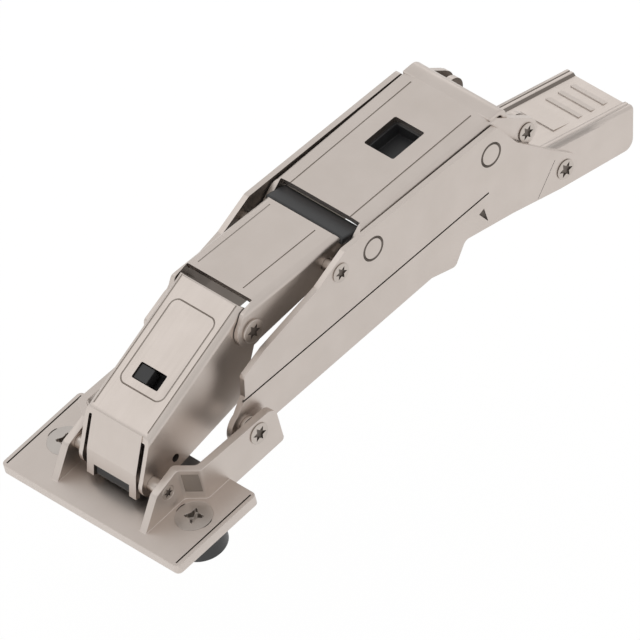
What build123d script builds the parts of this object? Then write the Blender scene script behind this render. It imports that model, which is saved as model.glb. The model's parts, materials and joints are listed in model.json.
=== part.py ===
# Concealed cabinet hinge with a wide opening angle and a flat door plate, shown open.
# X runs along the mounting rail towards the back of the cabinet, Y along the pivots, Z up.
# The origin lies on the rail's seat, on the centre line, straight under the main pivot.
import os
from math import atan2, cos, hypot, radians, sin

from build123d import *

os.makedirs("parts", exist_ok=True)

# The linkage, seen from the side: each step runs back along X or down from the pivot before it
pivot_height = 7.75
cover_pivot_back = 8.3
cover_pivot_up = 11.3
link_back = 56.1
link_up = 5.6
knuckle_step = 3.9
box_step_back = 18.4
box_step_down = 4.9
lever_step_back = 23.0
lever_step_down = 21.5
door_step_back = 23.4
door_step_down = 21.6
main_pivot = (0.0, 0.0)
cover_pivot = (-cover_pivot_back, cover_pivot_up)
link_pivot = (-link_back, link_up)
knuckle_pivot = (link_pivot[0] + knuckle_step, link_pivot[1])
box_pivot = (link_pivot[0] - box_step_back, link_pivot[1] - box_step_down)
lever_pivot = (link_pivot[0] - lever_step_back, link_pivot[1] - lever_step_down)
door_pivot = (box_pivot[0] - door_step_back, box_pivot[1] - door_step_down)

# Sheet thicknesses
rail_sheet = 1.2
cover_sheet = 1.2
cheek_sheet = 1.2
middle_sheet = 1.0
box_sheet = 0.9
plate_sheet = 2.1
lug_sheet = 1.6
hook_sheet = 1.5

# Widths, each half of the whole, and the gaps that part one layer from the next
rail_half = 8.4
middle_half = 9.0
cover_gap = 0.75
cheek_gap = 0.35
box_gap = 0.15
running_gap = 0.05
pin_clearance = 0.05
insert_gap = 0.1
cover_half = middle_half + cover_gap + cover_sheet
cover_inner = cover_half - cover_sheet
cheek_inner = cover_half + cheek_gap
cheek_outer = cheek_inner + cheek_sheet
box_half = middle_half - middle_sheet - box_gap

# Pins, their heads and the bushes on the cheeks' tips
main_pin_radius = 1.3
cover_pin_radius = 1.2
link_pin_radius = 1.2
knuckle_pin_radius = 1.1
box_pin_radius = 1.6
door_pin_radius = 1.4
lever_pin_radius = 1.4
hook_pin_radius = 1.1
head_rise = 0.25
head_rim = 0.7
bush_rim = 0.9
least_bend = 0.2

# Rail: an open channel whose web steps down to a flat panel between two beads
rail_front = -28.0
rail_back = 21.4
rail_seat_start = 3.0
rail_seat_rise = 1.75
rail_corner = 2.0
rail_crest = 2.0
rail_slope = 0.043
rail_bend = 0.7
rail_depth = 20.0
rail_ear = 2.5
panel_inset = 2.5
bead_inset = 2.0
rail_panel_drop = 0.45
groove_inset = 1.15
groove_half = 0.15
groove_depth = 0.2
rib_height = 0.2
rib_half = 4.1
rib_starts = (5.6, 11.9, 15.05, 18.2)
rib_runs = (4.2, 1.2, 1.2, 1.2)

# Hook plates inside the rail
hook_front = -24.0
hook_back = -12.0
hook_top = 0.2
hook_arm = 1.6
hook_nose = 3.0
hook_reach = 5.5
hook_gap = 1.2
hook_bar_radius = 0.7
hook_round = 0.8

# Cover
cover_front_right = 3.6
cover_front_up = 5.7
cover_rear_back = 8.7
cover_rear_up = 7.2
cover_lip = 2.0
cover_bend = 1.3
cover_crease = 7.4
cover_fall = 0.35
cover_depth = 30.0
cover_ear = 2.7
knuckle_ear = 1.35
cover_neck = 2.6
window_share = 0.58
window_long = 8.1
window_wide = 7.3
window_corner = 0.4
insert_sink = 1.0
insert_depth = 3.4
insert_rim = 1.5
insert_wall = 0.5

# Cheeks
cheek_boss = 3.1
cheek_tip = 4.0

# Middle link
middle_front_right = 1.0
middle_front_up = 5.5
middle_rear_right = 2.8
middle_rear_up = 4.6
middle_bend = 1.5
middle_ear = 3.4
middle_neck = 2.4

# Knuckle bar: how far the moulding stands round its pin
bar_left = 1.9
bar_right = 2.8
bar_below = 2.4
bar_above = 3.1
bar_round = 0.9

# Damper box
box_rear_back = 1.4
box_rear_up = 5.0
box_fold_right = -0.6
box_fold_up = 9.6
box_bend = 1.2
box_ear = 3.0
box_front_ear = 2.6
box_belly = 14.4
flap_half = 6.1
flap_kink_up = 1.8
flap_end_down = 0.9
foot_inner = 4.4
foot_down = 3.3
nose_half = 4.2
nose_left = 1.9
nose_down = 3.5
housing_lip = 1.1

# Damper switch
switch_place = 0.66
switch_long = 6.4
switch_wide = 3.3
switch_travel = 3.0
switch_corner = 0.3
switch_play = 0.15
pocket_depth = 2.2
pocket_rim = 0.5

# Door plate, its two lugs and their levers
plate_tilt = 16.1
plate_length = 20.5
plate_half = 22.0
plate_corner = 1.0
door_pivot_along = 9.6
door_pivot_above = 4.3
lug_gap = 2.35
lug_foot = 1.6
lug_front = 2.6
lug_top = 1.3
lug_peak = 2.9
lever_step = 3.5
lever_end = 4.9
lever_rise = 2.5
lever_drop = 2.1
lever_round = 2.2
jog_start = 13.2
jog_run = 2.4
jog_bend = 1.0
boss_gap = 0.5

# Screws and dowels
screw_pitch = 32.0
screw_along = 10.5
screw_head = 3.45
screw_shank = 1.9
screw_taper = 38
recess_arm = 1.6
recess_wide = 0.7
recess_deep = 1.0
recess_turn = 30
dowel_radius = 4.9
dowel_length = 4.6
dowel_neck = 4.2
dowel_seat = 0.6
dowel_slit = 0.8
dowel_root = 3.4

# Places that follow from those sizes
rail_panel_half = rail_half - panel_inset
rail_bead = rail_half - bead_inset
groove_place = rail_half - groove_inset
hook_half = rail_half - rail_sheet - hook_gap

# Side view: local X is the model's X, local Y is up, and the normal points at -Y
side = Plane(origin=(0, 0, pivot_height), x_dir=(1, 0, 0), z_dir=(0, -1, 0))
lug_inner = box_half + lug_gap
lug_outer = lug_inner + lug_sheet
lever_inner = lug_inner + lever_step
lever_outer = lever_inner + lug_sheet
boss_top = lever_inner - boss_gap


def by(pivot, right, up, rounding=0.0):
    """A corner of an outline, placed from a pivot, with its rounding."""
    return (pivot[0] + right, pivot[1] + up, rounding)


def outline(corners, plane=side, rounds=()):
    """A flat face from corners that each hold two coordinates and a rounding, with round ends."""
    with BuildSketch(plane) as face:
        with BuildLine():
            FilletPolyline(*[(a, b) for a, b, r in corners], radius=[r for a, b, r in corners], close=True)
        make_face()
        for place, radius in rounds:
            with Locations(place):
                Circle(radius)
    return face.sketch


def across(corners, low, high, mode=Mode.ADD, rounds=()):
    """The outline's prism between two places along Y."""
    extrude(outline(corners, side.offset(-high), rounds), amount=high - low, mode=mode)


def round_bar(pivot, radius, low, high, mode=Mode.ADD):
    """A round bar along Y between two places."""
    with BuildSketch(side.offset(-high)) as face:
        with Locations(pivot):
            Circle(radius)
    extrude(face.sketch, amount=high - low, mode=mode)


def both_sides(pivot, radius, inner, outer, mode=Mode.ADD):
    """The same short bar on the near and on the far side."""
    round_bar(pivot, radius, inner, outer, mode)
    round_bar(pivot, radius, -outer, -inner, mode)


def run_plane(start, end, overrun):
    """A plane square to the line between two side-view points, before its start."""
    length = hypot(end[0] - start[0], end[1] - start[1])
    step = ((end[0] - start[0]) / length, (end[1] - start[1]) / length)
    origin = (start[0] - overrun * step[0], 0, start[1] - overrun * step[1] + pivot_height)
    return Plane(origin=origin, x_dir=(0, 1, 0), z_dir=(step[0], 0, step[1])), length + 2 * overrun


def folded_sheet(start, end, half, sheet, bend, depth, crease=0.0, fall=0.0):
    """Sheet folded to a U whose flat top runs past start and end, seen from the side."""
    plane, length = run_plane(start, end, depth)
    outer = [(-half, -depth, 0), (-half, -fall, bend), (half, -fall, bend), (half, -depth, 0)]
    inner_half = half - sheet
    inner_bend = max(bend - sheet, least_bend)
    inner = [(-inner_half, -2 * depth, 0), (-inner_half, -fall - sheet, inner_bend)]
    inner += [(inner_half, -fall - sheet, inner_bend), (inner_half, -2 * depth, 0)]
    if crease:
        outer[2:2] = [(-crease, 0, 0), (crease, 0, 0)]
        inner[2:2] = [(-crease, -sheet, 0), (crease, -sheet, 0)]
    extrude(outline(outer, plane), amount=length)
    extrude(outline(inner, plane), amount=length, mode=Mode.SUBTRACT)


def square_end(end, other, half, reach):
    """Cut a folded sheet's top off squarely at one end and leave its two sides."""
    length = hypot(end[0] - other[0], end[1] - other[1])
    out = ((end[0] - other[0]) / length, (end[1] - other[1]) / length)
    down = (out[1], -out[0]) if out[0] > 0 else (-out[1], out[0])
    top = (end[0] - down[0], end[1] - down[1])
    low = (end[0] + reach * down[0], end[1] + reach * down[1])
    corners = [top, low, (low[0] + reach * out[0], low[1] + reach * out[1])]
    corners.append((top[0] + reach * out[0], top[1] + reach * out[1]))
    across([(x, z, 0) for x, z in corners], -half, half, Mode.SUBTRACT)


def finish(part, name):
    """Label a finished piece and write it."""
    part.part.label = name
    export_step(part.part, f"parts/{name}.step")


# Rail: a channel that seats over the mounting plate, with two ears for the cover's pivot
def rail_top(x):
    """Height of the rail's beads at a place along X."""
    return rail_crest - rail_slope * x


rail_plane, rail_run = run_plane((rail_front, rail_top(rail_front)), (rail_back, rail_top(rail_back)), rail_bend)
rail_skin = [
    (rail_half, -rail_depth, 0),
    (rail_half, 0, rail_bend),
    (groove_place + groove_half, 0, 0),
    (groove_place, -groove_depth, 0),
    (groove_place - groove_half, 0, 0),
    (rail_bead, 0, 0),
    (rail_panel_half, -rail_panel_drop, 0),
]
rail_hollow = [
    (rail_half - rail_sheet, -2 * rail_depth, 0),
    (rail_half - rail_sheet, -rail_panel_drop - rail_sheet, least_bend),
]
rail_side = [
    (rail_front, rail_seat_rise - pivot_height, 0),
    (rail_seat_start, -pivot_height, 0),
    (rail_back, -pivot_height, rail_corner),
    (rail_back, rail_top(rail_front) + 1, 0),
    (rail_front, rail_top(rail_front) + 1, 0),
]
rail_ear_side = [
    by(cover_pivot, -rail_ear, 0),
    (cover_pivot[0] - rail_ear, rail_top(0) - rail_panel_drop - rail_sheet, 0),
    (cover_pivot[0] + rail_ear, rail_top(0) - rail_panel_drop - rail_sheet, 0),
    by(cover_pivot, rail_ear, 0),
]
with BuildPart() as rail_arm:
    extrude(outline(rail_skin + [(-y, z, r) for y, z, r in reversed(rail_skin)], rail_plane), amount=rail_run)
    inside = outline(rail_hollow + [(-y, z, r) for y, z, r in reversed(rail_hollow)], rail_plane)
    extrude(inside, amount=rail_run, mode=Mode.SUBTRACT)
    across(rail_side, -rail_half, rail_half, Mode.INTERSECT)
    for inner, outer in ((rail_half - rail_sheet, rail_half), (-rail_half, rail_sheet - rail_half)):
        across(rail_ear_side, inner, outer, rounds=[(cover_pivot, rail_ear)])
    for start, run in zip(rib_starts, rib_runs):
        panel = rail_top(start) - rail_panel_drop
        rib = [(start, panel + rib_height, 0), (start, panel - rib_height, 0)]
        rib.append((start + run, rail_top(start + run) - rail_panel_drop, 0))
        across(rib, -rib_half, rib_half)
    round_bar(main_pivot, main_pin_radius, -rail_half, rail_half, Mode.SUBTRACT)
    round_bar(cover_pivot, cover_pin_radius, -rail_half, rail_half, Mode.SUBTRACT)
finish(rail_arm, "rail_arm")

# Hook plates and cross pin inside the rail, which latch it to the mounting plate
hook_pin_place = (hook_front + hook_nose / 2, hook_top - hook_arm)
hook_side = [
    (hook_front, hook_top, hook_round),
    (hook_front + hook_nose / 2, hook_top - hook_reach, hook_round),
    (hook_front + 1.5 * hook_nose, hook_top - hook_reach, hook_round),
    (hook_front + 1.5 * hook_nose, hook_top - hook_arm, 0),
    (hook_back, hook_top - hook_arm, 0),
    (hook_back, hook_top, 0),
]
with BuildPart() as rail_hook:
    across(hook_side, hook_half - hook_sheet, hook_half)
    across(hook_side, -hook_half, hook_sheet - hook_half)
    round_bar((hook_back - hook_nose, hook_top - hook_arm / 2), hook_bar_radius, -hook_half, hook_half)
    round_bar(hook_pin_place, hook_pin_radius, -hook_half, hook_half, Mode.SUBTRACT)
finish(rail_hook, "rail_hook")

with BuildPart() as hook_pin:
    round_bar(hook_pin_place, hook_pin_radius, -rail_half + rail_sheet, rail_half - rail_sheet)
finish(hook_pin, "hook_pin")

# Main pin: a shouldered rivet through each side of the rail, on which a cheek turns
with BuildPart() as main_pin:
    both_sides(main_pivot, main_pin_radius, rail_half - rail_sheet, cheek_outer + running_gap)
    both_sides(main_pivot, main_pin_radius + head_rim, cheek_outer + running_gap, cheek_outer + head_rise)
finish(main_pin, "main_pin")

# Cover pin: fixed in the rail's ears, its heads kept thin because the cheeks pass over them
cover_head = cheek_inner - running_gap
with BuildPart() as cover_pin:
    round_bar(cover_pivot, cover_pin_radius, -cover_half - running_gap, cover_half + running_gap)
    both_sides(cover_pivot, cover_pin_radius + head_rim, cover_half + running_gap, cover_head)
finish(cover_pin, "cover_pin")

# Cheeks: two long side plates
cheek_side = [
    by(cover_pivot, -8.9, 6.1, 0.8),
    by(cover_pivot, -3.9, 0.45, 0),
    by(main_pivot, -4.0, 6.1, 3.0),
    by(main_pivot, 1.4, 2.8, 0),
    by(main_pivot, 0, -cheek_boss, 0),
    by(main_pivot, -25.0, -2.9, 1.5),
    by(main_pivot, -27.4, -7.4, 1.2),
    by(main_pivot, -33.4, -6.9, 2.0),
    by(lever_pivot, 5.9, -1.1, 0),
    by(lever_pivot, 0, -cheek_tip, 0),
    by(lever_pivot, -3.8, 0.5, 0),
    by(lever_pivot, -0.6, 6.6, 0),
    by(lever_pivot, -0.8, 10.8, 1.0),
    by(box_pivot, -0.4, -2.3, 0),
    by(link_pivot, -5.6, -0.9, 2.0),
    by(link_pivot, 1.1, 4.0, 1.2),
]


def cheek_plate(low, high):
    """One cheek between two places along Y."""
    across(cheek_side, low, high, rounds=[(main_pivot, cheek_boss), (lever_pivot, cheek_tip)])
    round_bar(main_pivot, main_pin_radius + pin_clearance, low, high, Mode.SUBTRACT)
    round_bar(link_pivot, link_pin_radius, low, high, Mode.SUBTRACT)
    round_bar(lever_pivot, lever_pin_radius, low, high, Mode.SUBTRACT)


with BuildPart() as near_cheek:
    cheek_plate(-cheek_outer, -cheek_inner)
finish(near_cheek, "near_cheek")

with BuildPart() as far_cheek:
    cheek_plate(cheek_inner, cheek_outer)
finish(far_cheek, "far_cheek")

# Tip bosses: a short bush on each cheek's tip, against which the door plate's lever turns
with BuildPart() as tip_bosses:
    both_sides(lever_pivot, lever_pin_radius + bush_rim, cheek_outer, boss_top)
    both_sides(lever_pivot, lever_pin_radius, cheek_inner, cheek_outer)
finish(tip_bosses, "tip_bosses")

# Link pin: fixed in both cheeks, the middle link turns on it
with BuildPart() as link_pin:
    round_bar(link_pivot, link_pin_radius, -cheek_outer, cheek_outer)
    both_sides(link_pivot, link_pin_radius + head_rim, cheek_outer, cheek_outer + head_rise)
finish(link_pin, "link_pin")

# Cover: folded sheet over the link, turning on the rail's ears
cover_front = by(knuckle_pivot, cover_front_right, cover_front_up)[:2]
cover_rear = by(cover_pivot, -cover_rear_back, cover_rear_up)[:2]
cover_side = [
    by(cover_front, 0, 0),
    by(cover_rear, 0, 0, cover_lip),
    by(cover_pivot, 1.4, 2.4, 1.0),
    by(cover_pivot, 0, -cover_ear, 0),
    by(cover_pivot, -cover_ear - 9.0, 0.6, 4.0),
    by(knuckle_pivot, 7.0, cover_neck, 3.0),
    by(knuckle_pivot, 0, -knuckle_ear, 0),
    by(knuckle_pivot, 0, knuckle_ear, 1.0),
    by(knuckle_pivot, cover_front_right / 2, cover_neck + 1.0, 0),
]
cover_plane, cover_run = run_plane(cover_front, cover_rear, 0)
window_along = window_share * cover_run
cover_top = Plane(origin=cover_plane.origin, x_dir=cover_plane.z_dir, z_dir=cover_plane.y_dir)
with BuildPart() as cover:
    folded_sheet(cover_front, cover_rear, cover_half, cover_sheet, cover_bend, cover_depth, cover_crease, cover_fall)
    rounds = [(cover_pivot, cover_ear), (knuckle_pivot, knuckle_ear)]
    across(cover_side, -cover_half, cover_half, Mode.INTERSECT, rounds)
    square_end(cover_front, cover_rear, cover_inner, cover_front_up)
    with BuildSketch(cover_top.offset(1)):
        with Locations((window_along, 0)):
            RectangleRounded(window_long, window_wide, window_corner)
    extrude(amount=-cover_sheet - 2, mode=Mode.SUBTRACT)
    round_bar(cover_pivot, cover_pin_radius + pin_clearance, -cover_half, cover_half, Mode.SUBTRACT)
finish(cover, "cover")

# Moulded insert under the window, with a hollow that shows through it
with BuildPart() as cover_insert:
    with BuildSketch(cover_top.offset(-cover_sheet)):
        with Locations((window_along, 0)):
            Rectangle(window_long + 2 * insert_rim, window_wide + 2 * insert_rim)
    extrude(amount=-insert_depth)
    with BuildSketch(cover_top.offset(-cover_sheet)):
        with Locations((window_along, 0)):
            Rectangle(window_long - 2 * insert_wall, window_wide - 2 * insert_wall)
    extrude(amount=-insert_depth + insert_sink, mode=Mode.SUBTRACT)
finish(cover_insert, "cover_insert")

# Knuckle bosses: stubs on the cover's front ears that face the knuckle pin's ends
with BuildPart() as knuckle_bosses:
    both_sides(knuckle_pivot, knuckle_pin_radius, middle_half + running_gap, cover_inner)
finish(knuckle_bosses, "knuckle_bosses")

# Middle link: folded sheet between the cheeks and the box
middle_front = by(box_pivot, middle_front_right, middle_front_up)[:2]
middle_rear = by(link_pivot, middle_rear_right, middle_rear_up)[:2]
middle_side = [
    by(middle_rear, 0, 0, 0.5),
    by(middle_front, 0, 0, 0.5),
    by(box_pivot, -2.0, 4.0, 1.0),
    by(box_pivot, -middle_ear, 0, 0),
    by(box_pivot, 0, -middle_ear, 0),
    by(link_pivot, -3.0, -3.4, 3.0),
    by(knuckle_pivot, 0, -middle_neck, 0),
    by(knuckle_pivot, middle_neck, 0, 0),
]
with BuildPart() as middle_link:
    folded_sheet(middle_front, middle_rear, middle_half, middle_sheet, middle_bend, cover_depth)
    rounds = [(box_pivot, middle_ear), (knuckle_pivot, middle_neck)]
    across(middle_side, -middle_half, middle_half, Mode.INTERSECT, rounds)
    square_end(middle_front, middle_rear, middle_half - middle_sheet, middle_front_up)
    square_end(middle_rear, middle_front, middle_half - middle_sheet, middle_rear_up)
    round_bar(link_pivot, link_pin_radius + pin_clearance, -middle_half, middle_half, Mode.SUBTRACT)
    round_bar(knuckle_pivot, knuckle_pin_radius, -middle_half, middle_half, Mode.SUBTRACT)
    round_bar(box_pivot, box_pin_radius, -middle_half, middle_half, Mode.SUBTRACT)
finish(middle_link, "middle_link")

# Knuckle pin and the moulded bar on it, which closes the gap between cover and link
with BuildPart() as knuckle_pin:
    round_bar(knuckle_pivot, knuckle_pin_radius, -middle_half, middle_half)
finish(knuckle_pin, "knuckle_pin")

bar_half = middle_half - middle_sheet
bar_side = [
    by(knuckle_pivot, -bar_left, -bar_below, bar_round),
    by(knuckle_pivot, bar_right, -bar_below, bar_round),
    by(knuckle_pivot, bar_right, bar_above / 2, bar_round),
    by(knuckle_pivot, bar_right / 2, bar_above, bar_round),
    by(knuckle_pivot, -bar_left, bar_above, bar_round),
]
with BuildPart() as knuckle_bar:
    across(bar_side, -bar_half, bar_half)
    round_bar(knuckle_pivot, knuckle_pin_radius, -bar_half, bar_half, Mode.SUBTRACT)
finish(knuckle_bar, "knuckle_bar")

# Box pin: fixed in the middle link, the damper box turns on it
with BuildPart() as box_pin:
    round_bar(box_pivot, box_pin_radius, -middle_half, middle_half)
    both_sides(box_pivot, box_pin_radius + head_rim, middle_half, middle_half + 2 * head_rise)
finish(box_pin, "box_pin")

# Damper box: folded sheet with a front flap on two bent feet, closed over the damper
box_rear = by(box_pivot, -box_rear_back, box_rear_up)[:2]
box_fold = by(door_pivot, box_fold_right, box_fold_up)[:2]
flap_back = -door_pin_radius - running_gap
flap_front = flap_back - box_sheet
box_side = [
    by(box_rear, 0, 0, 0.5),
    by(box_pivot, 2.0, 2.2, 0),
    by(box_pivot, box_ear, 0, 0),
    by(box_pivot, -1.2, -box_belly, 2.0),
    by(door_pivot, 0, -box_front_ear, 0),
    by(door_pivot, -box_front_ear, 0, 0),
    by(box_fold, 0, 0, 1.4),
]
box_plane, box_run = run_plane(box_fold, box_rear, 0)
box_top = Plane(origin=box_plane.origin, x_dir=box_plane.z_dir, z_dir=box_plane.y_dir)
switch_spot = (box_run * (1 - switch_place), 0)
slider_spot = (switch_spot[0], switch_travel / 2)
flap = [
    by(box_fold, -0.2, -0.1),
    by(box_fold, 1.6, 0.2),
    by(box_fold, box_sheet, -1.6),
    by(door_pivot, flap_back, flap_kink_up, 1.0),
    by(door_pivot, flap_back, -flap_end_down),
    by(door_pivot, flap_front, -flap_end_down),
    by(door_pivot, flap_front, flap_kink_up, 1.5),
]
foot = [
    by(door_pivot, flap_back, 0),
    by(door_pivot, flap_back, -foot_down),
    by(door_pivot, flap_front, -foot_down),
    by(door_pivot, flap_front, 0),
]
with BuildPart() as damper_box:
    folded_sheet(box_fold, box_rear, box_half, box_sheet, box_bend, cover_depth)
    rounds = [(door_pivot, box_front_ear), (box_pivot, box_ear)]
    across(box_side, -box_half, box_half, Mode.INTERSECT, rounds)
    square_end(box_rear, box_fold, box_half - box_sheet, box_rear_up)
    across(flap, -flap_half, flap_half)
    for inner, outer in ((foot_inner, flap_half), (-flap_half, -foot_inner)):
        across(foot, inner, outer)
    with BuildSketch(box_top.offset(1)):
        with Locations(switch_spot):
            RectangleRounded(switch_wide, switch_long, switch_corner)
    extrude(amount=-box_sheet - 2, mode=Mode.SUBTRACT)
    round_bar(box_pivot, box_pin_radius + pin_clearance, -box_half, box_half, Mode.SUBTRACT)
    round_bar(door_pivot, door_pin_radius + pin_clearance, -box_half, box_half, Mode.SUBTRACT)
finish(damper_box, "damper_box")

# Damper housing: the moulding that fills the box, with a nose round the door pin
housing_half = box_half - box_sheet - insert_gap
housing_side = [
    by(box_rear, -1.9, -4.2),
    by(box_pivot, -3.0, -2.6),
    by(box_pivot, -0.6, -4.4),
    by(box_pivot, -1.8, housing_lip - box_belly),
    by(door_pivot, 4.2, -1.2),
    by(door_pivot, 3.0, 3.2),
    by(door_pivot, 1.0, 3.2),
    by(box_fold, box_sheet + 0.6, -3.1),
    by(box_fold, 2.6, -housing_lip),
]
nose_side = [
    by(door_pivot, 5.0, 4.0),
    by(door_pivot, 5.0, -1.4),
    by(door_pivot, 2.2, -nose_down, 1.2),
    by(door_pivot, -nose_left, -nose_down, 1.0),
    by(door_pivot, -nose_left, -flap_end_down - insert_gap),
    by(door_pivot, 0.5, -flap_end_down - insert_gap),
    by(door_pivot, 1.4, 4.0),
]
with BuildPart() as damper_housing:
    across(housing_side, -housing_half, housing_half)
    across(nose_side, -nose_half, nose_half)
    with BuildSketch(box_top.offset(1)):
        with Locations(switch_spot):
            Rectangle(switch_wide + 2 * pocket_rim, switch_long + 2 * pocket_rim)
    extrude(amount=-box_sheet - insert_gap - pocket_depth - 1, mode=Mode.SUBTRACT)
    round_bar(door_pivot, door_pin_radius + pin_clearance, -housing_half, housing_half, Mode.SUBTRACT)
finish(damper_housing, "damper_housing")

# Switch slider: turns the damper on and off, moves across the box in its slot
slider_wide = switch_wide - 2 * switch_play
slider_long = switch_long - switch_travel - 2 * insert_gap
with BuildPart() as switch_slider:
    with BuildSketch(box_top.offset(-box_sheet / 3)):
        with Locations(slider_spot):
            RectangleRounded(slider_wide, slider_long, switch_corner)
    extrude(amount=-pocket_depth)
finish(switch_slider, "switch_slider")

# Door pin: riveted flush into the door plate's lugs, the damper box turns on it
with BuildPart() as door_pin:
    round_bar(door_pivot, door_pin_radius, -lug_outer, lug_outer)
finish(door_pin, "door_pin")

# Door plate: flat plate with two lugs that step outward and run back as levers to the cheeks
tilt = radians(plate_tilt)
plate_start = (
    door_pivot[0] - door_pivot_along * cos(tilt) + door_pivot_above * sin(tilt),
    door_pivot[1] - door_pivot_along * sin(tilt) - door_pivot_above * cos(tilt),
)
plate_origin = (plate_start[0], 0, plate_start[1] + pivot_height)
plate_top = Plane(origin=plate_origin, x_dir=(cos(tilt), 0, sin(tilt)), z_dir=(-sin(tilt), 0, cos(tilt)))
plate_side = Plane(origin=plate_origin, x_dir=(cos(tilt), 0, sin(tilt)), z_dir=(0, -1, 0))
lever_reach = hypot(lever_pivot[0] - plate_start[0], lever_pivot[1] - plate_start[1])
lever_angle = atan2(lever_pivot[1] - plate_start[1], lever_pivot[0] - plate_start[0]) - tilt
lever_along = lever_reach * cos(lever_angle)
lever_above = lever_reach * sin(lever_angle)
lug_side = [
    (lug_foot, -plate_sheet / 2, 0),
    (lug_foot + 1.8, 1.0, 1.0),
    (door_pivot_along - lug_front, door_pivot_above + lug_top, 1.5),
    (jog_start - 0.6, door_pivot_above + lug_peak, 0),
    (lever_along + lever_end, lever_above + lever_rise, lever_round),
    (lever_along + lever_end, -lever_drop, lever_round / 3),
    (plate_length + 0.3, -lever_drop, 0),
    (plate_length - 0.6, -plate_sheet / 2, 0),
]
lug_plan = [
    (0, lug_inner, 0),
    (jog_start, lug_inner, jog_bend),
    (jog_start + jog_run, lever_inner, jog_bend),
    (lever_along + 2 * lever_end, lever_inner, 0),
    (lever_along + 2 * lever_end, lever_outer, 0),
    (jog_start + jog_run - 0.6, lever_outer, jog_bend),
    (jog_start - 0.6, lug_outer, jog_bend),
    (0, lug_outer, 0),
]
screw_spots = ((screw_along, screw_pitch / 2), (screw_along, -screw_pitch / 2))
with BuildPart() as door_plate:
    extrude(outline(lug_plan, plate_top.offset(-plate_half / 2)), amount=plate_half)
    mirror(about=Plane.XZ)
    extrude(outline(lug_side, plate_side), amount=plate_half, both=True, mode=Mode.INTERSECT)
    with BuildSketch(plate_top):
        with Locations((plate_length / 2, 0)):
            RectangleRounded(plate_length, 2 * plate_half, plate_corner)
    extrude(amount=-plate_sheet)
    with BuildSketch(plate_top):
        with Locations(*screw_spots):
            Circle(screw_head)
    extrude(amount=-plate_sheet, taper=screw_taper, mode=Mode.SUBTRACT)
    with BuildSketch(plate_top.offset(-plate_sheet)):
        with Locations(*screw_spots):
            Circle(dowel_radius + pin_clearance)
    extrude(amount=dowel_seat, mode=Mode.SUBTRACT)
    round_bar(door_pivot, door_pin_radius, -plate_half, plate_half, Mode.SUBTRACT)
    round_bar(lever_pivot, lever_pin_radius, -plate_half, plate_half, Mode.SUBTRACT)
finish(door_plate, "door_plate")

# Lever rivets: fixed in the levers, ending on the tip bosses
with BuildPart() as lever_rivets:
    both_sides(lever_pivot, lever_pin_radius, boss_top + running_gap, lever_outer)
    both_sides(lever_pivot, lever_pin_radius + head_rim, lever_outer, lever_outer + head_rise)
finish(lever_rivets, "lever_rivets")

# Screws: countersunk, with a cross recess
with BuildPart() as plate_screws:
    with BuildSketch(plate_top):
        with Locations(*screw_spots):
            Circle(screw_head)
    extrude(amount=-(plate_sheet - dowel_seat), taper=screw_taper)
    with BuildSketch(plate_top):
        with Locations(*screw_spots):
            Circle(screw_shank)
    extrude(amount=-plate_sheet - dowel_length)
    with BuildSketch(plate_top):
        with Locations(*screw_spots):
            Rectangle(2 * recess_arm, recess_wide, rotation=recess_turn)
            Rectangle(recess_wide, 2 * recess_arm, rotation=recess_turn)
    extrude(amount=-recess_deep, mode=Mode.SUBTRACT)
finish(plate_screws, "plate_screws")

# Dowels: moulded plugs round the screws, slit so that the screws can spread them
with BuildPart() as dowels:
    with BuildSketch(plate_top.offset(-plate_sheet)):
        with Locations(*screw_spots):
            Circle(dowel_radius)
    extrude(amount=-dowel_length)
    with BuildSketch(plate_top.offset(-plate_sheet)):
        with Locations(*screw_spots):
            Circle(dowel_neck)
    extrude(amount=dowel_seat)
    with BuildSketch(plate_top):
        with Locations(*screw_spots):
            Circle(screw_shank)
    extrude(amount=-plate_sheet - dowel_length, mode=Mode.SUBTRACT)
    with BuildSketch(plate_top.offset(-plate_sheet - dowel_root)):
        with Locations(*screw_spots):
            Rectangle(2 * dowel_radius + 1, dowel_slit)
    extrude(amount=-dowel_length, mode=Mode.SUBTRACT)
finish(dowels, "dowels")

plate_under = plate_top.offset(-plate_sheet)
print("screws on the underside", [tuple(plate_under.from_local_coords(Vector(a, b, 0))) for a, b in screw_spots])
print("normal", tuple(plate_under.z_dir))
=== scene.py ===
# %% [markdown]
# A concealed cabinet hinge, dressed in Blender.
# The hinge is a folding link between a mounting rail and a flat door plate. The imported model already
# holds every pressed, turned and moulded piece at its real size. This lesson gives those pieces the
# softened edges, the peened pins and the nickel finish that make pressed steel look real.

# %% The frame
import json
import math
import bpy
import bmesh
from mathutils import Matrix, Vector


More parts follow.
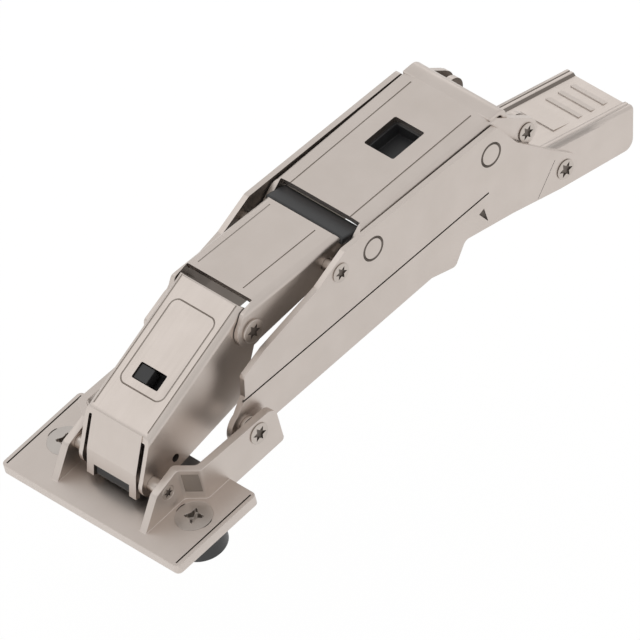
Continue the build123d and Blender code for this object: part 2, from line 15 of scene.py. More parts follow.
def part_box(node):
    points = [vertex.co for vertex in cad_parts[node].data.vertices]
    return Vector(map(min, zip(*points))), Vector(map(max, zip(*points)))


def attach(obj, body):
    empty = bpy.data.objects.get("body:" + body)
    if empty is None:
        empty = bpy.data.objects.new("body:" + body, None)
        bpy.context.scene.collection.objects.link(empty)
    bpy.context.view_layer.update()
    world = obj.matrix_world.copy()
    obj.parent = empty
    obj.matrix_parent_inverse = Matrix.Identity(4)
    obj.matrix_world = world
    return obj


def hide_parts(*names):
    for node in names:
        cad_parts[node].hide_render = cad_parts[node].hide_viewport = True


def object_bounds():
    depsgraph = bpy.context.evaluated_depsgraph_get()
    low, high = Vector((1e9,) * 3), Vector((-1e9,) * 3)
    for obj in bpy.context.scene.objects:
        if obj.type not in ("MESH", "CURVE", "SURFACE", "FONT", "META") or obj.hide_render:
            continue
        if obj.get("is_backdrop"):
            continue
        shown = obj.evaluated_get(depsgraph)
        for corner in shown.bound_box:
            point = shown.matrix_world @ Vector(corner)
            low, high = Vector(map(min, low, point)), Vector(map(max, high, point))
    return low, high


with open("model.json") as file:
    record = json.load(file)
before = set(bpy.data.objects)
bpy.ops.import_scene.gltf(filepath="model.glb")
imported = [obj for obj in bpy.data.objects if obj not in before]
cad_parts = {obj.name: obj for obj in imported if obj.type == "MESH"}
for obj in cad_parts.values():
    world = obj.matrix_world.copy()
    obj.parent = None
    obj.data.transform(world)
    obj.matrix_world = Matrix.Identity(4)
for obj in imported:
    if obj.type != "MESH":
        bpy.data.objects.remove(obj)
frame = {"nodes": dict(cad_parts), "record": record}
cad_low, cad_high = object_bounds()
MM = 0.001


# %% [markdown]
# The photograph is a parallel projection along the diagonal of a cube, so the camera stands far off with
# a long lens, turned 45 degrees and raised 35.26 degrees. Its frame is 112.6 mm wide at the hinge. A longer
# lens would be closer still, but the views from other sides come out blank with 2000 mm and more.
# The camera comes first, because everything else is judged through it.

# %% The camera
VIEW_TURN = math.radians(-45)
VIEW_RISE = math.radians(35.264)
VIEW_WIDTH = 112.6 * MM
LENS = 1200.0
SENSOR = 36.0
FARTHEST = 30.0
LOOK_AT = Vector((-48.7, 0.0, -6.75)) * MM

camera_data = bpy.data.cameras.new("camera")
camera_data.sensor_width = SENSOR
camera_data.lens = LENS
camera_data.clip_end = FARTHEST
camera = bpy.data.objects.new("camera", camera_data)
bpy.context.collection.objects.link(camera)
toward = Vector((math.sin(VIEW_TURN) * math.cos(VIEW_RISE), -math.cos(VIEW_TURN) * math.cos(VIEW_RISE),
                 math.sin(VIEW_RISE)))
camera.location = LOOK_AT + toward * (VIEW_WIDTH * LENS / SENSOR)
camera.rotation_euler = (-toward).to_track_quat("-Z", "Y").to_euler()
bpy.context.scene.camera = camera
print("camera", [round(c, 3) for c in camera.location])


# %% [markdown]
# Each material is a small graph of nodes. One function turns a hex colour to linear light, and one adds a
# node with its settings and links, so that a graph reads from top to bottom like a recipe.

# %% Colour and node helpers
def colour(code):
    """A hex colour as linear light with full alpha."""
    parts = [int(code[i:i + 2], 16) / 255 for i in (1, 3, 5)]
    linear = [p / 12.92 if p <= 0.04045 else ((p + 0.055) / 1.055) ** 2.4 for p in parts]
    return (*linear, 1.0)


def add(tree, kind, settings=None, values=None, links=None):
    """Adds a node: settings are its properties, values its inputs, links its inputs from other sockets."""
    node = tree.nodes.new(kind)
    for key, value in (settings or {}).items():
        setattr(node, key, value)
    for key, value in (values or {}).items():
        node.inputs[key].default_value = value
    for key, socket in (links or {}).items():
        tree.links.new(socket, node.inputs[key])
    return node


def new_material(name):
    """An empty material with its tree, surface output and object coordinates."""
    material = bpy.data.materials.new(name)
    material.use_nodes = True
    tree = material.node_tree
    tree.nodes.clear()
    output = add(tree, "ShaderNodeOutputMaterial")
    coordinates = add(tree, "ShaderNodeTexCoord")
    return material, tree, output, coordinates.outputs["Object"]


print("helpers ready")


# %% [markdown]
# Nickel plate over pressed steel: a warm pale metal. Barrel plating leaves a fine satin with soft clouds,
# and rolling the sheet leaves faint lines along it. The clouds are about 6 mm across and the satin grain
# about 0.12 mm; a real grain is finer, but it would not show in the picture. Three darker kinds are
# painted shade, for the pressed marks, the creases and the sheets' insides.

# %% Nickel-plated sheet
CLOUD = 6.0 * MM
GRAIN = 0.12 * MM
ROLL_LINE = 0.35 * MM
STRETCH = (0.04, 1.0, 0.04)
BUMP_HEIGHT = 0.02 * MM


def plated(name, base, dark, roughness, grain_depth):
    """Nickel-plated steel with clouds, rolling lines and satin grain."""
    material, tree, output, place = new_material(name)
    clouds = add(tree, "ShaderNodeTexNoise", values={"Scale": 1 / CLOUD, "Detail": 3.0},
                 links={"Vector": place})
    lines_map = add(tree, "ShaderNodeMapping", values={"Scale": STRETCH}, links={"Vector": place})
    lines = add(tree, "ShaderNodeTexNoise", values={"Scale": 1 / ROLL_LINE, "Detail": 2.0},
                links={"Vector": lines_map.outputs[0]})
    grain = add(tree, "ShaderNodeTexNoise", values={"Scale": 1 / GRAIN, "Detail": 2.0},
                links={"Vector": place})
    tone = add(tree, "ShaderNodeMix", {"data_type": "RGBA"}, {6: colour(dark), 7: colour(base)},
               links={0: clouds.outputs["Fac"]})
    rough = add(tree, "ShaderNodeMapRange", values={"To Min": roughness - 0.05, "To Max": roughness + 0.06},
                links={"Value": lines.outputs["Fac"]})
    height = add(tree, "ShaderNodeMath", {"operation": "MULTIPLY_ADD"}, {1: 0.35},
                 {0: lines.outputs["Fac"], 2: grain.outputs["Fac"]})
    bump = add(tree, "ShaderNodeBump", values={"Strength": grain_depth, "Distance": BUMP_HEIGHT},
               links={"Height": height.outputs[0]})
    shader = add(tree, "ShaderNodeBsdfPrincipled", values={"Metallic": 1.0},
                 links={"Base Color": tone.outputs[2], "Roughness": rough.outputs[0],
                        "Normal": bump.outputs[0]})
    tree.links.new(shader.outputs[0], output.inputs["Surface"])
    return material


nickel_sheet = plated("nickel_plated_sheet", "#D8CEC7", "#CDC3BB", 0.38, 0.2)
nickel_pin = plated("nickel_plated_pin", "#CFC6BE", "#BDB3AB", 0.32, 0.3)
screw_steel = plated("nickel_plated_screw", "#D2CBC5", "#BDB6B0", 0.32, 0.25)
# The next three are painted shade: darker metal that stands in for the shade in recesses, creases and gaps.
recess_painted_shade = plated("recess_painted_shade", "#8A817A", "#6F6760", 0.55, 0.2)
crease_painted_shade = plated("crease_painted_shade", "#B3AAA2", "#A1978F", 0.45, 0.2)
inside_painted_shade = plated("inside_painted_shade", "#8F867F", "#79716A", 0.5, 0.2)
print("metals", [metal.name for metal in (nickel_sheet, nickel_pin, screw_steel, recess_painted_shade)])


# %% [markdown]
# The black pieces are moulded polyamide: a dark grey plastic with a fine eroded mould texture of about
# 0.2 mm, which breaks up its gloss.

# %% Black moulded plastic
MOULD_GRIT = 0.2 * MM


def moulded(name, base, roughness):
    """Dark moulded plastic with a fine eroded surface."""
    material, tree, output, place = new_material(name)
    grit = add(tree, "ShaderNodeTexNoise", values={"Scale": 1 / MOULD_GRIT, "Detail": 2.0},
               links={"Vector": place})
    rough = add(tree, "ShaderNodeMapRange", values={"To Min": roughness - 0.06, "To Max": roughness + 0.08},
                links={"Value": grit.outputs["Fac"]})
    bump = add(tree, "ShaderNodeBump", values={"Strength": 0.3, "Distance": BUMP_HEIGHT},
               links={"Height": grit.outputs["Fac"]})
    shader = add(tree, "ShaderNodeBsdfPrincipled", values={"Base Color": colour(base), "IOR": 1.53},
                 links={"Roughness": rough.outputs[0], "Normal": bump.outputs[0]})
    tree.links.new(shader.outputs[0], output.inputs["Surface"])
    return material


black_moulding = moulded("black_polyamide", "#2B2B2C", 0.42)
FINISHES = {"nickel_sheet": nickel_sheet, "nickel_pin": nickel_pin, "screw_steel": screw_steel,
            "black_moulding": black_moulding}
print("finishes", list(FINISHES))


# %% [markdown]
# A pressed sheet has no knife edge: the punch rounds one side of each cut and the barrel softens the rest.
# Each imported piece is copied, its loose triangles are merged into real faces, and a bevel rounds every
# sharp edge. Weighted normals then keep the broad faces flat to the light while the small rounds shine.
# The rail's low ribs leave no room for a bevel, so the rail keeps its packed edges.

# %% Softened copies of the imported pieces
SLOT_OF = {row["node"]: row["material_slot"] for row in frame["record"]["subparts"]}
BODY_OF = {node: body for body, nodes in frame["record"]["behaviour"]["bodies"].items() for node in nodes}
SHARP = math.radians(24)
SMOOTH = math.radians(34)
FLAT = math.radians(0.6)
MERGE = 0.002 * MM


def deselect():
    """Nothing selected, so that the next operator acts on its own piece alone."""
    for thing in bpy.context.selected_objects:
        thing.select_set(False)


def pick(piece):
    """The piece alone is selected and active."""
    deselect()
    piece.select_set(True)
    bpy.context.view_layer.objects.active = piece


def round_edges(piece, width, segments, miter="MITER_SHARP"):
    """Rounds every edge of a piece that is sharper than SHARP."""
    bevel = piece.modifiers.new("edge", "BEVEL")
    bevel.width = width
    bevel.segments = segments
    bevel.limit_method = "ANGLE"
    bevel.angle_limit = SHARP
    bevel.miter_outer = miter
    bpy.ops.object.modifier_apply(modifier=bevel.name)


def softened(node, width):
    """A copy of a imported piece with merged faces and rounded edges."""
    piece = bpy.data.objects.new(node + "_soft", frame["nodes"][node].data.copy())
    bpy.context.collection.objects.link(piece)
    pick(piece)
    bpy.ops.object.mode_set(mode="EDIT")
    bpy.ops.mesh.select_all(action="SELECT")
    bpy.ops.mesh.remove_doubles(threshold=MERGE)
    bpy.ops.mesh.dissolve_limited(angle_limit=FLAT)
    bpy.ops.object.mode_set(mode="OBJECT")
    if width:
        round_edges(piece, width, 2, "MITER_ARC")
    piece.data.materials.clear()
    piece.data.materials.append(FINISHES[SLOT_OF[node]])
    return piece


EDGE = {"nickel_sheet": 0.16 * MM, "nickel_pin": 0.1 * MM, "screw_steel": 0.06 * MM,
        "black_moulding": 0.12 * MM}
PACKED_EDGES = ("rail_arm",)
soft = {name: softened(name, 0.0 if name in PACKED_EDGES else EDGE[SLOT_OF[name]]) for name in frame["nodes"]}
print("softened", len(soft), "faces", sum(len(piece.data.polygons) for piece in soft.values()))


# %% [markdown]
# The fine marks are cut into those copies, as the press cuts them into the sheet: a shallow tool is placed
# on the face and taken away with a boolean. Four tools make most of them: a straight groove, a ring, a
# rounded panel's outline and a star, which the riveting punch leaves when it spreads the end of a pin.

# %% The marking tools
JOINT_AT = {joint["name"]: Vector(joint["pos_m"]) for joint in frame["record"]["behaviour"]["joints"]
            if "pos_m" in joint}
PIVOT = JOINT_AT["main_pivot"]


def beside(x, z, y=0.0):
    """A place in millimetres from the main pivot, seen from the side."""
    return PIVOT + Vector((x, y, z)) * MM


def aimed(centre, along, normal):
    """The place of a tool with its local X along a line and its local Z along a face's normal."""
    x = along.normalized()
    z = normal.normalized()
    turn = Matrix((x, z.cross(x), z)).transposed().to_4x4()
    return Matrix.Translation(centre) @ turn


def hoop(radius, wide):
    """A thin torus, the start of a ring and of a panel's outline."""
    deselect()
    bpy.ops.mesh.primitive_torus_add(major_segments=48, minor_segments=8, major_radius=radius * MM,
                                     minor_radius=wide * MM / 2)
    return bpy.context.active_object


def groove(start, end, normal, wide, deep):
    """A square-edged groove between two places on a face."""
    deselect()
    bpy.ops.mesh.primitive_cube_add(size=1.0)
    tool = bpy.context.active_object
    size = Matrix.Diagonal(((end - start).length, wide * MM, 2 * deep * MM, 1.0))
    tool.matrix_world = aimed((start + end) / 2, end - start, normal) @ size
    return tool


def ring(centre, radius, wide, normal):
    """A round groove of half-round section."""
    tool = hoop(radius, wide)
    tool.matrix_world = aimed(centre, Vector((1, 0, 0)), normal)
    return tool


def star(centre, radius, deep, normal, points=6, waist=0.5, along=Vector((1, 0, 0))):
    """A star-shaped punch mark with a waist between its points."""
    deselect()
    bpy.ops.mesh.primitive_cylinder_add(vertices=2 * points, radius=radius * MM, depth=2 * deep * MM)
    tool = bpy.context.active_object
    bpy.ops.object.mode_set(mode="EDIT")
    bpy.ops.mesh.select_mode(type="VERT")
    bpy.ops.mesh.select_all(action="DESELECT")
    net = bmesh.from_edit_mesh(tool.data)
    for vertex in net.verts:
        step = round(math.atan2(vertex.co.y, vertex.co.x) / (math.pi / points))
        vertex.select_set(step % 2 == 1)
    bmesh.update_edit_mesh(tool.data)
    bpy.ops.transform.resize(value=(waist, waist, 1.0))
    bpy.ops.object.mode_set(mode="OBJECT")
    tool.matrix_world = aimed(centre, along, normal)
    return tool


def panel(centre, half_long, half_wide, corner, line, along, normal):
    """The outline of a rounded panel: a ring whose four quarters are moved apart."""
    tool = hoop(corner, line)
    for vertex in tool.data.vertices:
        vertex.co.x += math.copysign(half_long - corner, vertex.co.x) * MM
        vertex.co.y += math.copysign(half_wide - corner, vertex.co.y) * MM
    tool.matrix_world = aimed(centre, along, normal)
    return tool


def carve(piece, tools, finish=recess_painted_shade):
    """Takes the tools away from a piece one after another; the new faces get the given finish, by default the
    recess's painted shade.
    """
    for tool in tools:
        tool.data.materials.append(finish)
        pick(piece)
        cut = piece.modifiers.new("cut", "BOOLEAN")
        cut.operation = "DIFFERENCE"
        cut.solver = "EXACT"
        cut.material_mode = "TRANSFER"
        cut.object = tool
        bpy.ops.object.modifier_apply(modifier=cut.name)
        bpy.data.objects.remove(tool, do_unlink=True)
    return len(piece.data.polygons)


NEAR = Vector((0, -1, 0))
FAR = Vector((0, 1, 0))
print("pivots", list(JOINT_AT))


# %% [markdown]
# Every pin end that shows has been peened with a six-point punch. The star sits in the middle of its head
# and its points almost reach the rim, so the head keeps only a thin bright ring.

# %% Punch marks in the pin ends
LEVER = beside(-79.1, -15.9)
PUNCH_DEPTH = 0.3
PIN_ENDS = {"main_pin": (JOINT_AT["main_pivot"], 1.65), "cover_pin": (JOINT_AT["cover_pivot"], 1.5),
            "link_pin": (JOINT_AT["link_pivot"], 1.4), "box_pin": (JOINT_AT["box_pivot"], 1.6),
            "door_pin": (JOINT_AT["door_pivot"], 1.05), "lever_rivets": (LEVER, 1.6)}
# The stars' faces take the recess's painted shade.
for name, (pivot, radius) in PIN_ENDS.items():
    low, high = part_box(name)
    tools = [star(Vector((pivot.x, low[1], pivot.z)), radius, PUNCH_DEPTH, NEAR),
             star(Vector((pivot.x, high[1], pivot.z)), radius, PUNCH_DEPTH, FAR)]
    print(name, "faces", carve(soft[name], tools))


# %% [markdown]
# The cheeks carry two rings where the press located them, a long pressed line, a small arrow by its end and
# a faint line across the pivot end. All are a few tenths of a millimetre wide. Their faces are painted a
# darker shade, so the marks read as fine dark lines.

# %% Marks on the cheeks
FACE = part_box("near_cheek")[0][1] / MM
RINGS = ((-18.7, 12.3), (-48.0, 6.7))
RING_RADIUS = 2.25
RING_LINE = 0.5
FAINT_LINE = ((-2.6, 3.2), (-6.8, -3.05))
LONG_LINE = ((-19.2, 4.4), (-83.0, -10.7))
ARROW_TIP = (-19.3, -1.6)
ARROW_TAIL = ((-21.7, 1.1), (-20.3, 1.4))


def arrow(y, normal):
    """A three-sided punch for the arrow beside the pressed line."""
    deselect()
    bpy.ops.mesh.primitive_cylinder_add(vertices=3, radius=1.0, depth=0.8 * MM)
    tool = bpy.context.active_object
    left, right = (beside(x, z, y) for x, z in ARROW_TAIL)
    tip = beside(*ARROW_TIP, y)
    reach = tip - (left + right) / 2
    size = Matrix.Diagonal(((right - left).length / math.sqrt(3), reach.length / 1.5, 1.0, 1.0))
    tool.matrix_world = aimed((left + right + tip) / 3, reach.cross(normal), normal) @ size
    return tool


for name, y, normal in (("near_cheek", FACE, NEAR), ("far_cheek", -FACE, FAR)):
    tools = [ring(beside(x, z, y), RING_RADIUS, RING_LINE, normal) for x, z in RINGS]
    for line, wide, deep in ((FAINT_LINE, 0.12, 0.05), (LONG_LINE, 0.36, 0.3)):
        start, end = (beside(x, z, y) for x, z in line)
        tools.append(groove(start, end, normal, wide, deep))
    tools.append(arrow(y, normal))
    print(name, "faces", carve(soft[name], tools))


# %% [markdown]
# The folded tops are creased lengthwise by the tool that stiffens them. On the cover a crease runs past each
# side of the window; on the middle link two finer lines mark a strip that isn't quite in the middle.

# %% Lines along the cover and the middle link
def along_top(start, end, y):
    """The two ends of a line along a folded top, and the top's normal."""
    normal = (end - start).cross(Vector((0, 1, 0))).normalized()
    normal = normal if normal.z > 0 else -normal
    side_step = Vector((0, y, 0)) * MM
    return start + side_step, end + side_step, normal


# The creases' new faces are painted a darker shade, so they read as dark lines.
cover_from, cover_to = beside(-48.6, 11.3), beside(-18.6, 18.14)
tools = []
for y in (-7.4, 7.4):
    start, end, normal = along_top(cover_from - (cover_to - cover_from) * 0.1, cover_to, y)
    tools.append(groove(start, end, normal, 0.3, 0.12))
print("cover faces", carve(soft["cover"], tools, crease_painted_shade))
link_from, link_to = beside(-73.5, 6.2), beside(-53.3, 10.2)
margin = (link_to - link_from) * 0.06
tools = []
for y in (-4.6, 6.6):
    start, end, normal = along_top(link_from + margin, link_to - margin, y)
    tools.append(groove(start, end, normal, 0.26, 0.1))
print("middle link faces", carve(soft["middle_link"], tools, crease_painted_shade))


# %% [markdown]
# The damper box has a pressed panel round its switch, a fine line along each edge of its top and a small
# round hole in each side wall. The panel's outline is a ring pulled apart to a rounded rectangle.

# %% Marks on the damper box
BOX_FOLD = beside(-98.5, -11.3)
BOX_REAR = beside(-75.9, 5.7)
BOX_HALF = 7.85
PANEL_HALF = (8.9, 5.3)
PANEL_RISE = 5.6
PANEL_CORNER = 1.6
TOP_GROOVE = 6.7
HOLE_RADIUS = 0.8
HOLE_DEPTH = 0.95
WALL_HOLE = (-92.2, -18.3)
up_box = (BOX_REAR - BOX_FOLD).normalized()
box_normal = up_box.cross(FAR)
box_normal = box_normal if box_normal.z > 0 else -box_normal
slider_low, slider_high = (Vector(corner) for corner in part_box("switch_slider"))
slider_middle = (slider_low + slider_high) / 2
slider_middle.y = 0.0
on_top = slider_middle + box_normal * (BOX_FOLD - slider_middle).dot(box_normal)
# The panel's outline and the lines along the top are painted a darker shade; the wall holes take the recess's
# painted shade.
tools = [panel(on_top + up_box * PANEL_RISE * MM, *PANEL_HALF, PANEL_CORNER, 0.3, up_box, box_normal)]
for y in (-TOP_GROOVE, TOP_GROOVE):
    side_step = Vector((0, y, 0)) * MM
    start = BOX_FOLD + up_box * 0.8 * MM + side_step
    tools.append(groove(start, BOX_REAR + side_step, box_normal, 0.3, 0.1))
print("box panel faces", carve(soft["damper_box"], tools, crease_painted_shade))
tools = [star(beside(*WALL_HOLE, y), HOLE_RADIUS, HOLE_DEPTH, normal, points=12, waist=1.0)
         for y, normal in ((-BOX_HALF, NEAR), (BOX_HALF, FAR))]
print("box wall faces", carve(soft["damper_box"], tools))


# %% [markdown]
# The door plate has a line pressed along each end, a fine ring round each screw and a sunk field on the
# slope where each lug steps outward. The screws' cross recess widens at its mouth, as a driver's tip needs.

# %% Marks on the door plate
TILT = math.radians(16.1)
plate_along = Vector((math.cos(TILT), 0, math.sin(TILT)))
plate_normal = Vector((-math.sin(TILT), 0, math.cos(TILT)))
PIVOT_ALONG = 9.6
PIVOT_ABOVE = 4.3
plate_corner = (JOINT_AT["door_pivot"] - plate_along * PIVOT_ALONG * MM
                - plate_normal * PIVOT_ABOVE * MM)
SCREW_ALONG = 10.5
SCREW_SIDE = 16.0
RING_ROUND_SCREW = 3.65
END_LINE = (0.7, 19.8)
END_LINE_SIDE = 21.1
RAMP = (13.75, 13.5, 4.0)
RAMP_FIELD = (3.2, 4.4)
RAMP_SLOPE = Vector((2.4, 3.5)).normalized()
CROSS_TURN = math.radians(30)
CROSS_RADIUS = 1.9
CROSS_DEPTH = 0.8


def on_plate(along, y, above=0.0):
    """A place on the door plate's top, in millimetres from its front edge, centre line and top face."""
    return plate_corner + plate_along * along * MM + Vector((0, y, 0)) * MM + plate_normal * above * MM


# The end lines, the screw rings and the screws' crosses take the recess's painted shade, and the sunk fields
# on the lug slopes a lighter painted shade.
tools = []
for side in (-1, 1):
    start, end = (on_plate(along, side * END_LINE_SIDE) for along in END_LINE)
    tools.append(groove(start, end, plate_normal, 0.32, 0.25))
    tools.append(ring(on_plate(SCREW_ALONG, side * SCREW_SIDE), RING_ROUND_SCREW, 0.34, plate_normal))
print("plate faces", carve(soft["door_plate"], tools))
tools = []
for side in (-1, 1):
    sideways = Vector((0, side, 0))
    across_ramp = plate_along * RAMP_SLOPE.x + sideways * RAMP_SLOPE.y
    outward = sideways * RAMP_SLOPE.x - plate_along * RAMP_SLOPE.y
    spot = on_plate(RAMP[0], side * RAMP[1], RAMP[2])
    half = across_ramp * RAMP_FIELD[0] / 2 * MM
    tools.append(groove(spot - half, spot + half, outward, RAMP_FIELD[1], 0.1))
print("lug faces", carve(soft["door_plate"], tools, crease_painted_shade))
cross_way = Matrix.Rotation(CROSS_TURN, 3, plate_normal) @ plate_along
tools = [star(on_plate(SCREW_ALONG, side * SCREW_SIDE), CROSS_RADIUS, CROSS_DEPTH, plate_normal, 4, 0.52,
              cross_way) for side in (-1, 1)]
print("screw faces", carve(soft["plate_screws"], tools))


# %% [markdown]
# The insides of the folded sheets are painted a darker shade, which makes the gaps between the sheets look
# deep. The faces that look towards the centre line, or down from a top, get this painted shade. A face that
# already has a mark's finish keeps it.

# %% Painted shade on the insides of the folded sheets
TOP_HALF = 7.6 * MM
for name in ("near_cheek", "far_cheek", "cover", "middle_link", "damper_box", "rail_arm"):
    mesh = soft[name].data
    mesh.materials.append(inside_painted_shade)
    slot = len(mesh.materials) - 1
    shaded_faces = 0
    for face in mesh.polygons:
        inward = face.normal.y * face.center.y < -0.5 * abs(face.center.y)
        under_top = face.normal.z < -0.8 and abs(face.center.y) < TOP_HALF
        if face.material_index == 0 and (inward or under_top):
            face.material_index = slot
            shaded_faces += 1
    print(name, "dull faces", shaded_faces)


# %% [markdown]
# A black moulded bar on the knuckle pin closes the gap between the cover and the middle link. On the real
# hinge it fills the gap almost to the sheets' tops and the cover's edge sweeps close over it. It starts as
# a five-sided cylinder whose corners are moved to the bar's own. A bisect marks the shoulder above which the
# bar is wider than the link, its ends are extruded there, and all its edges are rounded.

# %% The bar between cover and middle link
KNUCKLE = (-52.2, 5.6)
BAR_HALF = 7.9 * MM
BAR_SHOULDER = 2.7
BAR_WING = 1.7
BAR_CORNERS = ((-1.9, -2.3), (2.7, -2.3), (5.4, 2.3), (4.15, 4.15), (-0.45, 4.15))
BAR_MIDDLE = (1.2, 0.9)


def turn_about(right, up):
    """The angle at which a place stands round the origin."""
    return math.atan2(up, right)


deselect()
bpy.ops.mesh.primitive_cylinder_add(vertices=len(BAR_CORNERS), radius=1.0, depth=2 * BAR_HALF)
gap_bar = bpy.context.active_object
gap_bar.name = "gap_bar"
by_turn = sorted(BAR_CORNERS, key=lambda c: turn_about(c[0] - BAR_MIDDLE[0], c[1] - BAR_MIDDLE[1]))
for end in (-1, 1):
    corners = [vertex for vertex in gap_bar.data.vertices if vertex.co.z * end > 0]
    corners.sort(key=lambda v: turn_about(v.co.x, v.co.y))
    for vertex, (right, up) in zip(corners, by_turn):
        vertex.co = beside(KNUCKLE[0] + right, KNUCKLE[1] + up) + Vector((0, -end * BAR_HALF, 0))
pick(gap_bar)
bpy.ops.object.mode_set(mode="EDIT")
bpy.ops.mesh.select_mode(type="FACE")
bpy.ops.mesh.select_all(action="SELECT")
shoulder = beside(KNUCKLE[0], KNUCKLE[1] + BAR_SHOULDER)
bpy.ops.mesh.bisect(plane_co=shoulder, plane_no=(0, 0, 1))
for side in (-1, 1):
    bpy.ops.mesh.select_all(action="DESELECT")
    net = bmesh.from_edit_mesh(gap_bar.data)
    for face in net.faces:
        face.select_set(face.normal.y * side > 0.9 and face.calc_center_median().z > shoulder.z)
    bmesh.update_edit_mesh(gap_bar.data)
    bpy.ops.mesh.extrude_region_move(TRANSFORM_OT_translate={"value": (0, side * BAR_WING * MM, 0)})
bpy.ops.object.mode_set(mode="OBJECT")
round_edges(gap_bar, 0.5 * MM, 3)
gap_bar.data.materials.append(black_moulding)
bpy.data.objects.remove(soft["knuckle_bar"], do_unlink=True)
soft["knuckle_bar"] = gap_bar
print("gap bar faces", len(gap_bar.data.polygons))


# %% [markdown]
# The cover's top doesn't end in a cut edge at the rear: it is rolled down over the cover pin. The roll is a
# strip of the same sheet. Its cross section runs straight on from the top, is spun round the centre of the
# bend and is pulled straight down.

# %% The rolled rear end of the cover
ROLL_START = (-17.6, 18.36)
ROLL_RUN = 2.3
ROLL_RADIUS = 2.0
ROLL_ANGLE = math.radians(85)
ROLL_END = 2.5
SHEET = 1.2
ROLL_HALF = 10.7
COVER_RISE = (7.2, 31.6)
top_slope = math.atan2(*COVER_RISE)
ahead = Vector((math.cos(top_slope), 0, math.sin(top_slope)))
upward = Vector((-math.sin(top_slope), 0, math.cos(top_slope)))
roll_from = beside(*ROLL_START)
roll_centre = roll_from + ahead * ROLL_RUN * MM - upward * ROLL_RADIUS * MM

deselect()
bpy.ops.mesh.primitive_plane_add(size=1.0)
roll = bpy.context.active_object
roll.name = "cover_roll"
middle = roll_from - upward * SHEET / 2 * MM
section = Matrix.Diagonal((2 * ROLL_HALF * MM, SHEET * MM, 1.0, 1.0))
roll.matrix_world = aimed(middle, Vector((0, 1, 0)), ahead) @ section
bpy.ops.object.transform_apply(location=True, rotation=True, scale=True)
bpy.ops.object.mode_set(mode="EDIT")
bpy.ops.mesh.select_all(action="SELECT")
bpy.ops.mesh.extrude_region_move(TRANSFORM_OT_translate={"value": ahead * ROLL_RUN * MM})
bpy.ops.mesh.spin(steps=12, angle=-ROLL_ANGLE, center=roll_centre, axis=(0, 1, 0))
turned = top_slope - ROLL_ANGLE
onward = Vector((math.cos(turned), 0, math.sin(turned))) * ROLL_END * MM
bpy.ops.mesh.extrude_region_move(TRANSFORM_OT_translate={"value": onward})
bpy.ops.mesh.select_all(action="SELECT")
bpy.ops.mesh.remove_doubles(threshold=MERGE / 2)
bpy.ops.mesh.normals_make_consistent(inside=False)
bpy.ops.object.mode_set(mode="OBJECT")
round_edges(roll, 0.3 * MM, 3)
roll.data.materials.append(nickel_sheet)
roll_low, roll_high = roll.bound_box[0], roll.bound_box[6]
print("roll faces", len(roll.data.polygons), [round(c / MM, 2) for c in (*roll_low, *roll_high)])


# %% [markdown]
# The finished copies take their normals and body, and stand for the imported pieces; their finish was given
# when they were copied.

# %% Finishing the copies
for name, piece in soft.items():
    pick(piece)
    bpy.ops.object.shade_smooth_by_angle(angle=SMOOTH)
    weigh = piece.modifiers.new("weigh", "WEIGHTED_NORMAL")
    weigh.keep_sharp = True
    weigh.weight = 100
    bpy.ops.object.modifier_apply(modifier=weigh.name)
    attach(piece, BODY_OF[name])
    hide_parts(name)
pick(roll)
bpy.ops.object.shade_smooth_by_angle(angle=SMOOTH)
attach(roll, "cover")
print("dressed", len(soft) + 1)


# %% [markdown]
# The room is a plain pale floor and a soft white sky. Two large sheets of light, behind the hinge and above
# it to the left and right, give the metal something broad to mirror, as a photographer's light tent does.
# The floor shines plain white to the camera, and keeps a share of its own so that the shadow still shows.

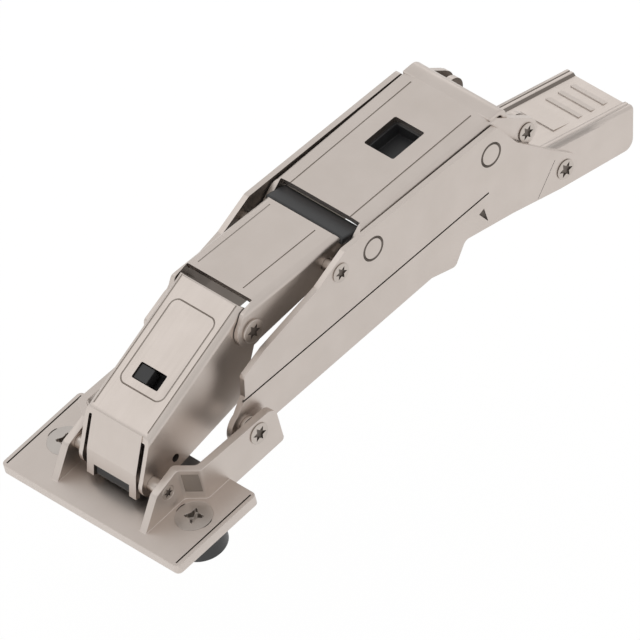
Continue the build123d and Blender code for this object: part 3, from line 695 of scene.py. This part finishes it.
# %% The room
FLOOR_DROP = 30 * MM
FLOOR_SIZE = 6.0
FLOOR_GLOW = 1.02
GLOW_SHARE = 0.94
SKY_LEVEL = 0.8
LAMP_SIZE = 0.4
floor_height = cad_low.z - FLOOR_DROP
deselect()
bpy.ops.mesh.primitive_plane_add(size=FLOOR_SIZE, location=(0, 0, floor_height))
floor = bpy.context.active_object
floor.name = "floor"
floor_material, tree, output, _ = new_material("pale_floor")
plain = add(tree, "ShaderNodeBsdfDiffuse", values={"Color": colour("#F4F3F1")})
bright = add(tree, "ShaderNodeEmission", values={"Color": colour("#FFFFFF"), "Strength": FLOOR_GLOW})
rays = add(tree, "ShaderNodeLightPath")
mirrored = add(tree, "ShaderNodeMath", {"operation": "MAXIMUM"},
               links={0: rays.outputs["Is Glossy Ray"], 1: rays.outputs["Is Transmission Ray"]})
direct = add(tree, "ShaderNodeMath", {"operation": "MAXIMUM"},
             links={0: rays.outputs["Is Camera Ray"], 1: mirrored.outputs[0]})
share = add(tree, "ShaderNodeMath", {"operation": "MULTIPLY"}, {1: GLOW_SHARE}, {0: direct.outputs[0]})
seen = add(tree, "ShaderNodeMixShader",
           links={0: share.outputs[0], 1: plain.outputs[0], 2: bright.outputs[0]})
tree.links.new(seen.outputs[0], output.inputs["Surface"])
floor.data.materials.append(floor_material)
floor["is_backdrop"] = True

world = bpy.data.worlds.new("sky")
world.use_nodes = True
sky = world.node_tree
sky.nodes.clear()
sky_out = add(sky, "ShaderNodeOutputWorld")
sky_light = add(sky, "ShaderNodeBackground", values={"Color": colour("#FFFFFF"), "Strength": SKY_LEVEL})
sky.links.new(sky_light.outputs[0], sky_out.inputs["Surface"])
bpy.context.scene.world = world


def sheet_of_light(name, place, aim, size, power):
    """A square area light that points at a spot."""
    data = bpy.data.lights.new(name, "AREA")
    data.size = size
    data.energy = power
    lamp = bpy.data.objects.new(name, data)
    lamp.location = place
    lamp.rotation_mode = "QUATERNION"
    lamp.rotation_quaternion = (Vector(aim) - Vector(place)).to_track_quat("-Z", "Y")
    bpy.context.collection.objects.link(lamp)
    return lamp


CENTRE = (cad_low + cad_high) / 2
sheet_of_light("right_light", CENTRE + Vector((0.63, 0.58, 0.53)), CENTRE, LAMP_SIZE, 0.22)
sheet_of_light("left_light", CENTRE + Vector((-0.45, 0.58, 0.68)), CENTRE, LAMP_SIZE, 0.28)
bpy.context.scene.view_settings.view_transform = "Standard"
print("room ready")


# %% [markdown]
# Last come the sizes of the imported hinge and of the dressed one, which show that the dressing stays within
# the hinge's own box, but for the half millimetre by which the roll stands above it.

# %% The sizes and the end
low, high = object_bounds()
print("cad box", [round(c * 1000, 2) for c in (*cad_low, *cad_high)])
print("scene box", [round(c * 1000, 2) for c in (*low, *high)])
